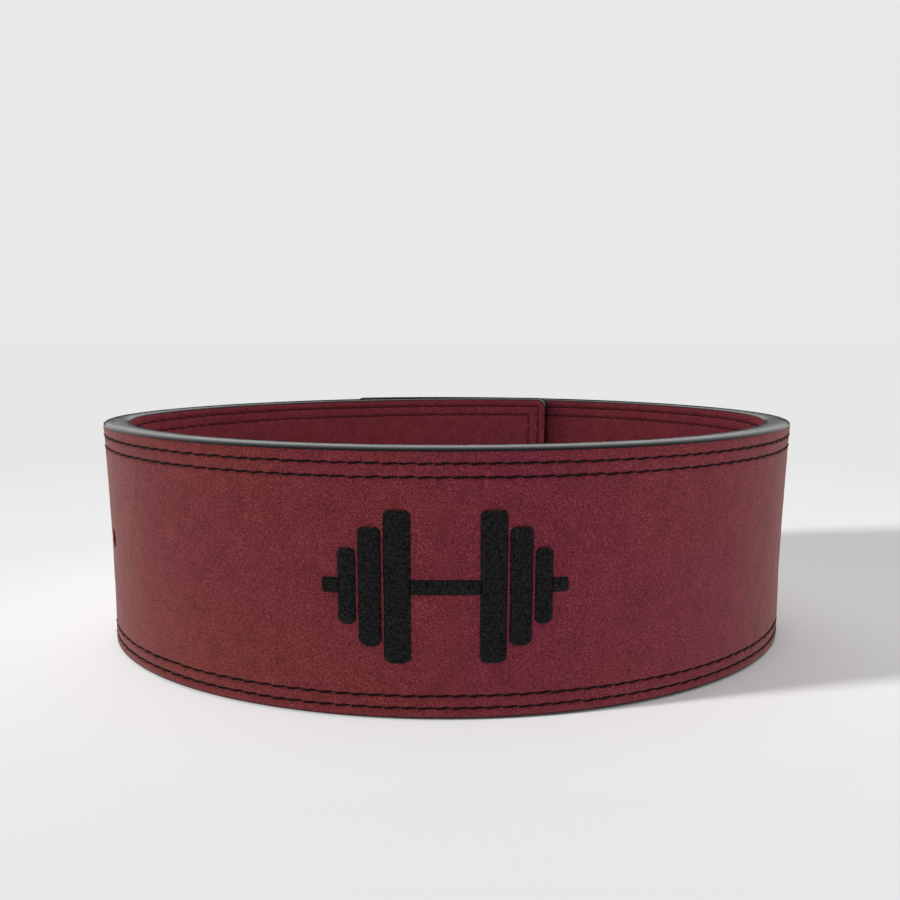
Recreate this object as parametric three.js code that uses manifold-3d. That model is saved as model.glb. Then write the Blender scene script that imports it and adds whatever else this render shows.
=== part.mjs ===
// A weightlifting belt: a thick leather strap faced with suede on both sides, closed into an oval and
// standing on its edge. Its ends overlap at the far side, where a lever buckle holds them.
// Millimetres, +Z up, +Y away from the emblem.

import * as THREE from 'three';
import { mergeVertices } from 'three/addons/utils/BufferGeometryUtils.js';
import Module from 'manifold-3d';

const wasm = await Module();
wasm.setup();

// Strap
const strapHeight = 100;
const suedeThickness = 1.5;
const coreThickness = 7.4;
const layerGap = 0.3;
const edgeBevel = 1.15;
const endCornerRadius = 6;

// Oval that the strap is closed into, measured over its outer face at mid height
const ovalWidth = 311;
const ovalDepth = 196;
const shoulderDip = 2.2;
const edgeFlare = 0.65;

// Overlap at the far side: how far each end runs past the middle of the back, and the room between them
const innerEndOverlap = 60;
const outerEndOverlap = 52;
const endsGap = 0.5;
const innerTipLift = 1.25;
const innerTipLiftRun = 200;

// Row of adjustment holes in the end that lies inside
const holeRadius = 4.3;
const firstHoleFromTip = 48;
const holePitch = 25;
const holeCount = 10;

// Barbell emblem on the front: sizes along the strap and up it. The discs are listed from the grip out,
// as shares of the largest one's width and height.
const emblemRelief = 0.9;
const emblemEdgeRound = 0.45;
const barHeight = 5.6;
const barEnd = 4.6;
const gripLength = 24;
const discWidth = 9.5;
const discHeight = 56;
const discSpacing = 0.8;
const discCorner = 2.4;
const discs = [
  { width: 1, height: 1 },
  { width: 0.86, height: 0.78 },
  { width: 0.68, height: 0.5 },
];

// Lever buckle on the outer end, in from that end's edge: the lever, then the bare stretch of its plate
const seatGap = 0.3;
const plateFromEnd = 3;
const plateTail = 22;
const plateHeight = 52;
const plateThickness = 2.4;
const fuseDepth = 0.6;
const plateCorner = 7;
const leverLength = 58;
const leverHeight = 60;
const leverRise = 6.5;
const leverCorner = 9;
const leverRound = 3.2;
const studRadius = 2.6;
const studClearance = 0.3;
const studSpacing = 30;
const screwHeadRadius = 5;
const screwHeadRise = 2;

// Its hook: how far it has to reach past that edge before it drops into a hole
const hookReach = 30;
const hookHeight = 20;
const hookThickness = 2;
const hookPad = 9;
const hookCorner = 4;
const hookPinClearance = 0.5;

// Fineness of the facets
const strapStep = 9.5;
const plateStep = 7;
const hookStep = 3;
const cornerSteps = 3;
const leverRoundSteps = 3;
const holeSides = 12;
const mergeDistance = 1e-5;

const strapThickness = 2 * suedeThickness + 2 * layerGap + coreThickness;
const mostOfSuede = 0.9;
const suedeBevel = Math.min(edgeBevel, mostOfSuede * suedeThickness);
const endShift = (strapThickness + endsGap) / 2;
const midHeight = strapHeight / 2;

function smooth(share) {
  const t = Math.min(Math.max(share, 0), 1);
  return t * t * (3 - 2 * t);
}

// The plan is given by the angle that the face looks at, from the front middle, positive to the right.
// Reach is the distance from the middle of the oval to the tangent of the face there. Past half a turn the
// right end goes on outside and the left end goes on inside.
function faceNormal(angle) {
  return new THREE.Vector2(Math.sin(angle), -Math.cos(angle));
}

function planReach(angle) {
  const oval = Math.hypot((ovalWidth / 2) * Math.sin(angle), (ovalDepth / 2) * Math.cos(angle));
  const dip = (shoulderDip * (1 - Math.cos(4 * angle))) / 2;
  const spread = Math.sign(angle) * endShift * smooth(Math.abs(angle) / Math.PI);
  return oval - dip + spread;
}

function planPoint(angle) {
  const delta = 1e-4;
  const slope = (planReach(angle + delta) - planReach(angle - delta)) / (2 * delta);
  const normal = faceNormal(angle);
  const tangent = new THREE.Vector2(-normal.y, normal.x);
  return normal.multiplyScalar(planReach(angle)).addScaledVector(tangent, slope);
}

// Angles at even small steps, with the length of the strap's middle layer up to each of them
function measureStrap() {
  const step = 0.002;
  const reach = 1.4 * Math.PI;
  const table = [{ angle: 0, arc: 0 }];
  for (const side of [1, -1]) {
    let last = new THREE.Vector2(0, planPoint(0).y + strapThickness / 2);
    let arc = 0;
    for (let angle = step; angle < reach; angle += step) {
      const signed = side * angle;
      const point = planPoint(signed).addScaledVector(faceNormal(signed), -strapThickness / 2);
      arc += point.distanceTo(last);
      last = point;
      table.push({ angle: signed, arc: side * arc });
    }
  }
  return table.sort((a, b) => a.arc - b.arc);
}

const strapTable = measureStrap();

function lookUp(from, to, value) {
  let low = 0;
  let high = strapTable.length - 1;
  while (high - low > 1) {
    const middle = (low + high) >> 1;
    if (strapTable[middle][from] <= value) low = middle;
    else high = middle;
  }
  const a = strapTable[low];
  const b = strapTable[high];
  return a[to] + ((b[to] - a[to]) * (value - a[from])) / (b[from] - a[from]);
}

const angleAt = (arc) => lookUp('arc', 'angle', arc);
const arcAt = (angle) => lookUp('angle', 'arc', angle);

const innerTip = arcAt(-Math.PI) - innerEndOverlap;
const outerTip = arcAt(Math.PI) + outerEndOverlap;

// A point of the strap: along it, in from its outer face, and up
function strapPoint(arc, depth, z) {
  const angle = angleAt(arc);
  const flare = edgeFlare * ((z - midHeight) / midHeight) ** 2;
  const point = planPoint(angle).addScaledVector(faceNormal(angle), flare - depth);
  const lift = innerTipLift * Math.max(0, 1 - (arc - innerTip) / innerTipLiftRun) ** 2;
  return new THREE.Vector3(point.x, point.y, z + lift);
}

// Steps of a rounded or bevelled edge: how far in from the edge, and how far the face is set back there
function edgeSteps(radius, steps) {
  if (radius === 0) return [{ in: 0, back: 0 }];
  return Array.from({ length: steps + 1 }, (unused, i) => {
    const turn = (i / steps) * (Math.PI / 2);
    return { in: radius * (1 - Math.cos(turn)), back: radius * (1 - Math.sin(turn)) };
  });
}

function setBackAt(steps, distance) {
  for (let i = 1; i < steps.length; i += 1) {
    const a = steps[i - 1];
    const b = steps[i];
    if (distance < b.in) return a.back + ((b.back - a.back) * (distance - a.in)) / (b.in - a.in);
  }
  return 0;
}

function cornerInset(radius, distance) {
  if (distance >= radius) return 0;
  return radius - Math.sqrt(radius ** 2 - (radius - distance) ** 2);
}

// Distances along a plate at which it gets a section: close at both ends, even between them
function sectionPlaces(length, corner, round, step) {
  const closest = 0.2;
  const ends = edgeSteps(corner, cornerSteps).concat(round).map((place) => place.in);
  const near = [...new Set(ends)].sort((a, b) => a - b);
  const kept = near.filter((place, i) => i === 0 || place - near[i - 1] > closest);
  const last = kept[kept.length - 1];
  const rest = length - 2 * last;
  const count = Math.max(1, Math.ceil(rest / step));
  const between = Array.from({ length: count - 1 }, (unused, i) => last + ((i + 1) * rest) / count);
  return [...kept, ...between, ...kept.map((place) => length - place).reverse()];
}

// One face of a section: its points from the bottom edge to the top edge
function faceChain(arc, fromEnd, plate, depth, round, inward) {
  const low = plate.bottom + cornerInset(plate.corner, fromEnd);
  const high = plate.top - cornerInset(plate.corner, fromEnd);
  const atEnd = setBackAt(round, fromEnd);
  const rows = round.map((step) => ({ z: low + step.in, back: Math.max(step.back, atEnd) }));
  const middle = plate.middleRows.map((share) => ({ z: low + (high - low) * share, back: atEnd }));
  const upper = round.map((step) => ({ z: high - step.in, back: Math.max(step.back, atEnd) })).reverse();
  return [...rows, ...middle, ...upper].map((row) => strapPoint(arc, depth(arc) + inward * row.back, row.z));
}

// Triangles between two chains that run side by side, from the first chain to the second
function zipChains(first, second, heightOf) {
  const triangles = [];
  let i = 0;
  let j = 0;
  while (i < first.length - 1 || j < second.length - 1) {
    const firstNext = i < first.length - 1 ? heightOf(first[i + 1]) : Infinity;
    const secondNext = j < second.length - 1 ? heightOf(second[j + 1]) : Infinity;
    if (firstNext <= secondNext) {
      triangles.push(first[i], first[i + 1], second[j]);
      i += 1;
    } else {
      triangles.push(first[i], second[j + 1], second[j]);
      j += 1;
    }
  }
  return triangles;
}

// A plate that is bent along the strap, closed all round. Its faces are given by their depth along it.
function bentPlate(settings) {
  const plain = { corner: 0, outerRound: 0, innerRound: 0, roundSteps: 1, middleRows: [], step: plateStep };
  const plate = { ...plain, ...settings };
  const outerRound = edgeSteps(plate.outerRound, plate.roundSteps);
  const innerRound = edgeSteps(plate.innerRound, plate.roundSteps);
  const length = plate.to - plate.from;
  const places = sectionPlaces(length, plate.corner, [...outerRound, ...innerRound], plate.step);
  const points = [];
  const indexOf = (point) => {
    points.push(point);
    return points.length - 1;
  };
  const sections = places.map((place) => {
    const arc = plate.from + place;
    const fromEnd = Math.min(place, length - place);
    return {
      outer: faceChain(arc, fromEnd, plate, plate.outer, outerRound, 1).map(indexOf),
      inner: faceChain(arc, fromEnd, plate, plate.inner, innerRound, -1).map(indexOf),
    };
  });
  const triangles = [];
  for (let i = 1; i < sections.length; i += 1) {
    const ringA = [...sections[i - 1].outer, ...sections[i - 1].inner.toReversed()];
    const ringB = [...sections[i].outer, ...sections[i].inner.toReversed()];
    ringA.forEach((corner, k) => {
      const next = (k + 1) % ringA.length;
      triangles.push(corner, ringB[k], ringB[next], corner, ringB[next], ringA[next]);
    });
  }
  const heightOf = (index) => points[index].z;
  const firstEnd = sections[0];
  const lastEnd = sections[sections.length - 1];
  triangles.push(...zipChains(firstEnd.outer, firstEnd.inner, heightOf));
  triangles.push(...zipChains(lastEnd.outer, lastEnd.inner, heightOf).reverse());
  return new THREE.BufferGeometry().setFromPoints(points).setIndex(triangles);
}

const atDepth = (depth) => () => depth;

// Booleans
function solidOf(geometry) {
  const plain = geometry.clone();
  plain.deleteAttribute('normal');
  plain.deleteAttribute('uv');
  const merged = mergeVertices(plain, mergeDistance);
  return new wasm.Manifold(new wasm.Mesh({
    numProp: 3,
    vertProperties: new Float32Array(merged.attributes.position.array),
    triVerts: new Uint32Array(merged.index.array),
  }));
}

function geometryOf(solid) {
  const mesh = solid.getMesh();
  const geometry = new THREE.BufferGeometry();
  geometry.setAttribute('position', new THREE.BufferAttribute(new Float32Array(mesh.vertProperties), 3));
  geometry.setIndex(new THREE.BufferAttribute(new Uint32Array(mesh.triVerts), 1));
  geometry.computeVertexNormals();
  return geometry;
}

// A turned shape whose axis runs out of the strap's face, with its foot at the given depth
function turnedOnStrap(geometry, arc, depth, z) {
  const foot = strapPoint(arc, depth, z);
  const normal = faceNormal(angleAt(arc));
  const turn = new THREE.Quaternion().setFromUnitVectors(
    new THREE.Vector3(0, 1, 0),
    new THREE.Vector3(normal.x, normal.y, 0),
  );
  return solidOf(geometry.applyQuaternion(turn).translate(foot.x, foot.y, foot.z));
}

// A round rod through the strap's thickness, between two depths
function rodThrough(arc, z, radius, outerDepth, innerDepth) {
  const length = innerDepth - outerDepth;
  const rod = new THREE.CylinderGeometry(radius, radius, length, holeSides).translate(0, length / 2, 0);
  return turnedOnStrap(rod, arc, innerDepth, z);
}

// Places of the holes and of the buckle's studs
const firstHole = innerTip + firstHoleFromTip;
const holeArcs = Array.from({ length: holeCount }, (unused, i) => firstHole + holePitch * i);
const plateTo = outerTip - plateFromEnd;
const plateFrom = plateTo - leverLength - plateTail;
const studArc = plateFrom + plateTail / 2;
const studHeights = [midHeight - studSpacing / 2, midHeight + studSpacing / 2];

function strapCuts() {
  const past = 2;
  const cut = (arc, z, radius) => rodThrough(arc, z, radius, -past, strapThickness + past);
  const holes = holeArcs.map((arc) => cut(arc, midHeight, holeRadius));
  const studHoles = studHeights.map((z) => cut(studArc, z, studRadius + studClearance));
  return [...holes, ...studHoles];
}

function strapLayer(outerDepth, thickness, bevels) {
  const layer = bentPlate({
    from: innerTip,
    to: outerTip,
    bottom: 0,
    top: strapHeight,
    outer: atDepth(outerDepth),
    inner: atDepth(outerDepth + thickness),
    corner: endCornerRadius,
    middleRows: [0.5],
    step: strapStep,
    ...bevels,
  });
  return geometryOf(strapCuts().reduce((solid, cut) => solid.subtract(cut), solidOf(layer)));
}

function outerSuede() {
  return strapLayer(0, suedeThickness, { outerRound: suedeBevel });
}

function leatherCore() {
  return strapLayer(suedeThickness + layerGap, coreThickness, {});
}

function innerSuede() {
  return strapLayer(strapThickness - suedeThickness, suedeThickness, { innerRound: suedeBevel });
}

// Embroidered barbell
function emblemPatch(fromArc, toArc, height, corner) {
  return solidOf(bentPlate({
    from: fromArc,
    to: toArc,
    bottom: midHeight - height / 2,
    top: midHeight + height / 2,
    outer: atDepth(-seatGap - emblemRelief),
    inner: atDepth(-seatGap),
    corner,
    outerRound: emblemEdgeRound,
  }));
}

function emblemEmbroidery() {
  const patches = [];
  let reach = gripLength / 2;
  for (const disc of discs) {
    const width = disc.width * discWidth;
    const height = disc.height * discHeight;
    patches.push(emblemPatch(-reach - width, -reach, height, discCorner));
    patches.push(emblemPatch(reach, reach + width, height, discCorner));
    reach += width + discSpacing;
  }
  const bar = emblemPatch(-reach - barEnd, reach + barEnd, barHeight, 0);
  return geometryOf(patches.reduce((emblem, patch) => emblem.add(patch), bar));
}

// Lever buckle
function bucklePlate() {
  return solidOf(bentPlate({
    from: plateFrom,
    to: plateTo,
    bottom: midHeight - plateHeight / 2,
    top: midHeight + plateHeight / 2,
    outer: atDepth(-seatGap - plateThickness),
    inner: atDepth(-seatGap),
    corner: plateCorner,
    middleRows: [0.5],
  }));
}

function buckleLever() {
  return solidOf(bentPlate({
    from: plateTo - leverLength,
    to: plateTo,
    bottom: midHeight - leverHeight / 2,
    top: midHeight + leverHeight / 2,
    outer: atDepth(-seatGap - plateThickness - leverRise),
    inner: atDepth(-seatGap - plateThickness + fuseDepth),
    corner: leverCorner,
    outerRound: leverRound,
    roundSteps: leverRoundSteps,
    middleRows: [0.5],
  }));
}

function buckleStud(z) {
  return rodThrough(studArc, z, studRadius, -seatGap - fuseDepth, strapThickness);
}

function screwHead(z) {
  const steps = 4;
  const profile = [new THREE.Vector2(0, 0)];
  for (let i = 0; i <= steps; i += 1) {
    const turn = (i / steps) * (Math.PI / 2);
    profile.push(new THREE.Vector2(screwHeadRadius * Math.cos(turn), screwHeadRise * Math.sin(turn)));
  }
  profile[profile.length - 1].x = 0;
  const head = new THREE.LatheGeometry(profile, holeSides);
  return turnedOnStrap(head, studArc, -seatGap - plateThickness + fuseDepth, z);
}

// The hook is worked out along the end that lies inside, under the buckle, whose outer face is depth 0.
// It runs level with the plate, drops past the other end's edge and lies on the strap round a hole.
function buckleHook() {
  const wholeTurn = 2 * Math.PI;
  const edgeArc = arcAt(angleAt(outerTip) - wholeTurn);
  const holeArc = holeArcs.find((arc) => arc > edgeArc + hookReach);
  const plateLevel = -strapThickness - endsGap;
  const dropFrom = edgeArc + plateFromEnd;
  const dropTo = holeArc - hookPad;
  const level = (arc) => plateLevel * smooth((dropTo - arc) / (dropTo - dropFrom)) - seatGap;
  const arm = solidOf(bentPlate({
    from: edgeArc - plateFromEnd - plateCorner,
    to: holeArc + hookPad,
    bottom: midHeight - hookHeight / 2,
    top: midHeight + hookHeight / 2,
    outer: (arc) => level(arc) - hookThickness,
    inner: level,
    corner: hookCorner,
    step: hookStep,
  }));
  const pinTop = -seatGap - fuseDepth;
  const pin = rodThrough(holeArc, midHeight, holeRadius - hookPinClearance, pinTop, strapThickness - seatGap);
  return arm.add(pin);
}

function leverBuckle() {
  let buckle = bucklePlate().add(buckleLever()).add(buckleHook());
  for (const z of studHeights) buckle = buckle.add(buckleStud(z)).add(screwHead(z));
  return geometryOf(buckle);
}

function piece(name, geometry, color, roughness, metalness) {
  const mesh = new THREE.Mesh(geometry, new THREE.MeshStandardMaterial({ color, roughness, metalness }));
  mesh.name = name;
  return mesh;
}

const belt = new THREE.Group();
belt.add(
  piece('outer_suede', outerSuede(), 0x6e2a34, 0.95, 0),
  piece('leather_core', leatherCore(), 0x141214, 0.45, 0),
  piece('inner_suede', innerSuede(), 0x5f2128, 0.95, 0),
  piece('emblem_embroidery', emblemEmbroidery(), 0x0b0b0c, 0.6, 0),
  piece('lever_buckle', leverBuckle(), 0xb9babd, 0.3, 1),
);

// The origin is under the middle of the whole belt, on the surface that it stands on
const bounds = new THREE.Box3().setFromObject(belt);
const centre = bounds.getCenter(new THREE.Vector3());
belt.position.set(-centre.x, -centre.y, -bounds.min.z);

export default belt;
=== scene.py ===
# A weightlifting belt: a thick leather strap faced with suede on both sides, with painted edges and
# two rows of stitches all round. It is closed into an oval and stands on its edge, with an embroidered
# barbell in front and a lever buckle at the back.
# Lengths are millimetres. MM turns them into metres, and on_strap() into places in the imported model.

import math

import bmesh
import bpy
import numpy as np
from mathutils import Matrix, Vector


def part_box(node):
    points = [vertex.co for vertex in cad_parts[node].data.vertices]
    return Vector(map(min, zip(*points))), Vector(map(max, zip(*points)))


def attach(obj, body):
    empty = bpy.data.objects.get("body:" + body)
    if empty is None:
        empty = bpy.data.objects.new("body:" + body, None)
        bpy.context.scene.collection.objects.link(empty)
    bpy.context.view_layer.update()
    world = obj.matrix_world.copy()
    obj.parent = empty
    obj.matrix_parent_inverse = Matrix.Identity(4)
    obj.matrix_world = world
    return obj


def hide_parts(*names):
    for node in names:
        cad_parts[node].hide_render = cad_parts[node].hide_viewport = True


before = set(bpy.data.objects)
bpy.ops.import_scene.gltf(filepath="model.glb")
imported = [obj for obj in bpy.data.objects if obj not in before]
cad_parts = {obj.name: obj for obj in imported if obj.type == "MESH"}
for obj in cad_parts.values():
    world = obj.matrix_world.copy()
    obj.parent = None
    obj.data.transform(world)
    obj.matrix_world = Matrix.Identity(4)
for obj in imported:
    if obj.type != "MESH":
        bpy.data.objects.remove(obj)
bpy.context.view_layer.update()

MM = 0.001
# Corners of a joined or cut body that lie closer than this are one corner.
SAME_POINT = 0.0005

# Strap, as in the frame
STRAP_HEIGHT = 100.0
SUEDE_THICKNESS = 1.5
CORE_THICKNESS = 7.4
LAYER_GAP = 0.3
STRAP_THICKNESS = 2 * SUEDE_THICKNESS + 2 * LAYER_GAP + CORE_THICKNESS
END_CORNER = 6.0
OVAL_WIDTH = 311.0
OVAL_DEPTH = 196.0
SHOULDER_DIP = 2.2
EDGE_FLARE = 0.65
INNER_END_OVERLAP = 60.0
OUTER_END_OVERLAP = 52.0
ENDS_GAP = 0.5
INNER_TIP_LIFT = 1.25
INNER_TIP_LIFT_RUN = 200.0
HOLE_RADIUS = 4.3
FIRST_HOLE_FROM_TIP = 48.0
HOLE_PITCH = 25.0
HOLE_COUNT = 10

# Embroidered barbell
EMBLEM_SEAT = 0.3
EMBLEM_RELIEF = 0.9
BAR_HEIGHT = 5.6
BAR_END = 4.6
GRIP_LENGTH = 24.0
DISC_WIDTH = 9.5
DISC_HEIGHT = 56.0
DISC_SPACING = 0.8
DISC_CORNER = 2.4
BAR_CORNER = 0.6
SATIN_PITCH = 0.42
SATIN_HALF_WIDTH = 0.25
SATIN_FLATNESS = 0.9
SATIN_RINGS = 9
SATIN_BELOW_TOP = 0.26
SATIN_TUCK = 0.15
SATIN_END_SPREAD = 0.09
SATIN_LEAN_SPREAD = 0.035
SATIN_DEPTH_SPREAD = 0.025
PADDING_BELOW_TOP = 0.5
PADDING_INSET = 0.25
DISCS = [
    {"width": 1.0, "height": 1.0},
    {"width": 0.86, "height": 0.78},
    {"width": 0.68, "height": 0.5},
]

# Lever buckle
SEAT_GAP = 0.3
PLATE_FROM_END = 3.0
PLATE_TAIL = 22.0
PLATE_HEIGHT = 52.0
PLATE_THICKNESS = 2.4
PLATE_SET_BACK = 0.3
FUSE_DEPTH = 0.6
PLATE_CORNER = 7.0
LEVER_LENGTH = 58.0
LEVER_HEIGHT = 60.0
LEVER_RISE = 6.5
LEVER_CORNER = 9.0
LEVER_ROUND = 3.2
PANEL_BORDER = 8
PANEL_SLOPE = 1.8
PANEL_DEPTH = 1.3
STUD_RADIUS = 2.6
STUD_CLEARANCE = 0.3
STUD_SPACING = 30.0
SCREW_HEAD_RADIUS = 5.0
SCREW_HEAD_RISE = 2.0
SOCKET_RADIUS = 2.3
SOCKET_RIM = 0.5
SOCKET_BEVEL = 0.1
SOCKET_FLARE = 1.06
SOCKET_DEPTH = 1.0
HOOK_REACH = 30.0
HOOK_HEIGHT = 20.0
HOOK_THICKNESS = 2.0
HOOK_PAD = 9.0
HOOK_CORNER = 4.0
HOOK_PIN_CLEARANCE = 0.5
HOOK_ROUND = 0.5
HOOK_ROUND_MIDDLE = 0.15

# Painted edge
EDGE_CROWN = 0.3
OUTER_BEVEL_WIDTH = 2.6
OUTER_BEVEL_HEIGHT = 0.95
INNER_BEVEL_WIDTH = 2.0
INNER_BEVEL_HEIGHT = 0.45
PAINT_LIP = 0.12
OUTER_INSET = 1.2
INNER_INSET = 0.7
RECESS_CLEARANCE = 0.08
RECESS_TOP = 0.6

# Suede. Its edge is drawn down to the paint, and its unevenness fades out towards the edge.
FACE_STEP = 1.5
FACE_SIDE_TUCK = 0.05
FACE_SIDE_TOP = 0.55
EDGE_SINK = 0.28
EDGE_SINK_RUN = 1.3
HOLE_SINK = 0.35
HOLE_SINK_RUN = 0.9
PIT_DEPTH = 0.3
PIT_RADIUS = 0.6
PIT_REACH = 2.5
LEVEL_SINK = 0.12
UNEVEN_FADE = 6
LARGE_WAVES = {"height": 0.1, "shortest": 22, "longest": 90}
SMALL_WAVES = {"height": 0.035, "shortest": 5, "longest": 14}
STITCHED_BAND = 13.5

# Stitches. The twist is an angle from a stitch's middle to its end, the lobe a share of its width, and
# so are the width at its end and the swell towards its middle.
STITCH_PITCH = 6.0
STITCH_LENGTH = 5.94
STITCH_SLANT = math.radians(1.2)
STITCH_WAVE = 0.15
THREAD_WIDTH = 0.66
THREAD_HEIGHT = 0.55
INNER_THREAD_WIDTH = 0.95
INNER_THREAD_SINK = 0.12
THREAD_PROUD = 0.22
THREAD_ARCH = 0.12
THREAD_DIP = 0.3
THREAD_TWIST = 5.2
THREAD_LOBE = 0.13
THREAD_END = 0.4
THREAD_SWELL = 0.75
PLACE_SPREAD = 0.03
HEIGHT_SPREAD = 0.05
HEADING_SPREAD = 0.012
LENGTH_SPREAD = 0.03
ROW_DEPTH = 0.4
ROW_SPREAD = 0.75
ROW_CORNER = 0.8
STITCH_ROWS = [
    {"end": 4.8, "low": 4.6, "high": 5.5},
    {"end": 10.2, "low": 9.2, "high": 10.4},
]
ROW_RISE_AT_BACK = 1.4

MIDDLE = STRAP_HEIGHT / 2
END_SHIFT = (STRAP_THICKNESS + ENDS_GAP) / 2
WHOLE_TURN = 2 * math.pi


# Plan of the strap. It is given by the angle that the face looks at, from the front middle, positive to
# the right. Reach is the distance from the middle of the oval to the tangent of the face there.
def smooth(share):
    t = np.clip(share, 0, 1)
    return t * t * (3 - 2 * t)


def plan_reach(angle):
    oval = np.hypot(OVAL_WIDTH / 2 * np.sin(angle), OVAL_DEPTH / 2 * np.cos(angle))
    dip = SHOULDER_DIP * (1 - np.cos(4 * angle)) / 2
    spread = np.sign(angle) * END_SHIFT * smooth(np.abs(angle) / math.pi)
    return oval - dip + spread


def face_normal(angle):
    return np.stack([np.sin(angle), -np.cos(angle)], -1)


def plan_point(angle):
    delta = 1e-4
    slope = (plan_reach(angle + delta) - plan_reach(angle - delta)) / (2 * delta)
    along = np.stack([np.cos(angle), np.sin(angle)], -1)
    return face_normal(angle) * plan_reach(angle)[..., None] + along * slope[..., None]


def measure_strap():
    step = 0.002
    furthest = 1.4 * math.pi
    count = int(furthest / step)
    angles = step * np.arange(-count, count + 1)
    middle_layer = plan_point(angles) - face_normal(angles) * STRAP_THICKNESS / 2
    lengths = np.linalg.norm(np.diff(middle_layer, axis=0), axis=1)
    arcs = np.concatenate([[0], np.cumsum(lengths)])
    return angles, arcs - arcs[count]


ANGLES, ARCS = measure_strap()


def angle_at(arc):
    return np.interp(arc, ARCS, ANGLES)


def arc_at(angle):
    return float(np.interp(angle, ANGLES, ARCS))


INNER_TIP = arc_at(-math.pi) - INNER_END_OVERLAP
OUTER_TIP = arc_at(math.pi) + OUTER_END_OVERLAP
HOLE_ARCS = [INNER_TIP + FIRST_HOLE_FROM_TIP + HOLE_PITCH * i for i in range(HOLE_COUNT)]
PLATE_TO = OUTER_TIP - PLATE_FROM_END
PLATE_FROM = PLATE_TO - LEVER_LENGTH - PLATE_TAIL
STUD_ARC = PLATE_FROM + PLATE_TAIL / 2
STUD_HEIGHTS = [MIDDLE - STUD_SPACING / 2, MIDDLE + STUD_SPACING / 2]

# The middle of the oval in the frame. The emblem lies on the front middle, so its box gives it.
emblem_low, emblem_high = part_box("emblem_embroidery")
OVAL_MIDDLE = np.array([
    (emblem_low.x + emblem_high.x) / 2,
    emblem_low.y + (OVAL_DEPTH / 2 + EMBLEM_SEAT + EMBLEM_RELIEF) * MM,
    0,
])


def on_strap(arc, depth, z):
    """Points of the strap in the frame: along it, in from its outer face, and up."""
    arc, depth, z = np.broadcast_arrays(*(np.asarray(value, float) for value in (arc, depth, z)))
    angle = angle_at(arc)
    flare = EDGE_FLARE * ((z - MIDDLE) / MIDDLE) ** 2
    plan = plan_point(angle) + face_normal(angle) * (flare - depth)[..., None]
    lift = INNER_TIP_LIFT * np.clip(1 - (arc - INNER_TIP) / INNER_TIP_LIFT_RUN, 0, None) ** 2
    return np.concatenate([plan, (z + lift)[..., None]], -1) * MM + OVAL_MIDDLE


# Meshes
def make_piece(name, points, faces):
    """A mesh object from points and faces that close a body, its faces turned as they are given."""
    mesh = bpy.data.meshes.new(name)
    mesh.from_pydata(points.tolist(), [], faces)
    mesh.update()
    piece = bpy.data.objects.new(name, mesh)
    bpy.context.scene.collection.objects.link(piece)
    return piece


class Outline:
    """A rounded rectangle laid on the strap, and the grids and rings of points that follow it."""

    def __init__(self, start, end, low, high, corner, step, rows, corner_steps=6):
        self.start, self.end = start, end
        self.low, self.high = low, high
        self.corner = corner
        self.turns = np.linspace(0, math.pi / 2, corner_steps + 1)
        count = max(2, round((end - start - 2 * corner) / step))
        self.straight = np.linspace(start + corner, end - corner, count + 1)[1:-1]
        self.shares = np.asarray(rows, float)

    def grid(self, inset, shares=None):
        """Columns along the strap, rows up it: two arrays, of places along it and of heights."""
        shares = self.shares if shares is None else shares
        radius = self.corner - inset
        near = self.corner - radius * np.cos(self.turns)
        rise = self.corner - radius * np.sin(self.turns)
        places = np.concatenate([self.start + near, self.straight, self.end - near[::-1]])
        rises = np.concatenate([rise, np.full(len(self.straight), inset), rise[::-1]])
        low = (self.low + rises)[:, None]
        high = (self.high - rises)[:, None]
        heights = low + (high - low) * shares
        return np.broadcast_to(places[:, None], heights.shape), heights

    def rim(self, inset):
        """The ring of places on the outline, that far inside it."""
        return [rim_of(values) for values in self.grid(inset)]


def rim_of(values):
    return np.concatenate([values[:, 0], values[-1, 1:], values[-2::-1, -1], values[0, -2:0:-1]])


def quads_between(first, second):
    """Faces between two lines of point numbers that run side by side."""
    return np.stack([first[:-1], second[:-1], second[1:], first[1:]], -1)


def zip_lines(first, second, heights):
    """Triangles between two upright lines with different numbers of points."""
    faces = []
    i = j = 0
    while i < len(first) - 1 or j < len(second) - 1:
        first_next = heights[first[i + 1]] if i < len(first) - 1 else math.inf
        second_next = heights[second[j + 1]] if j < len(second) - 1 else math.inf
        if first_next <= second_next:
            faces.append([first[i], first[i + 1], second[j]])
            i += 1
        else:
            faces.append([first[i], second[j + 1], second[j]])
            j += 1
    return faces


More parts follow.
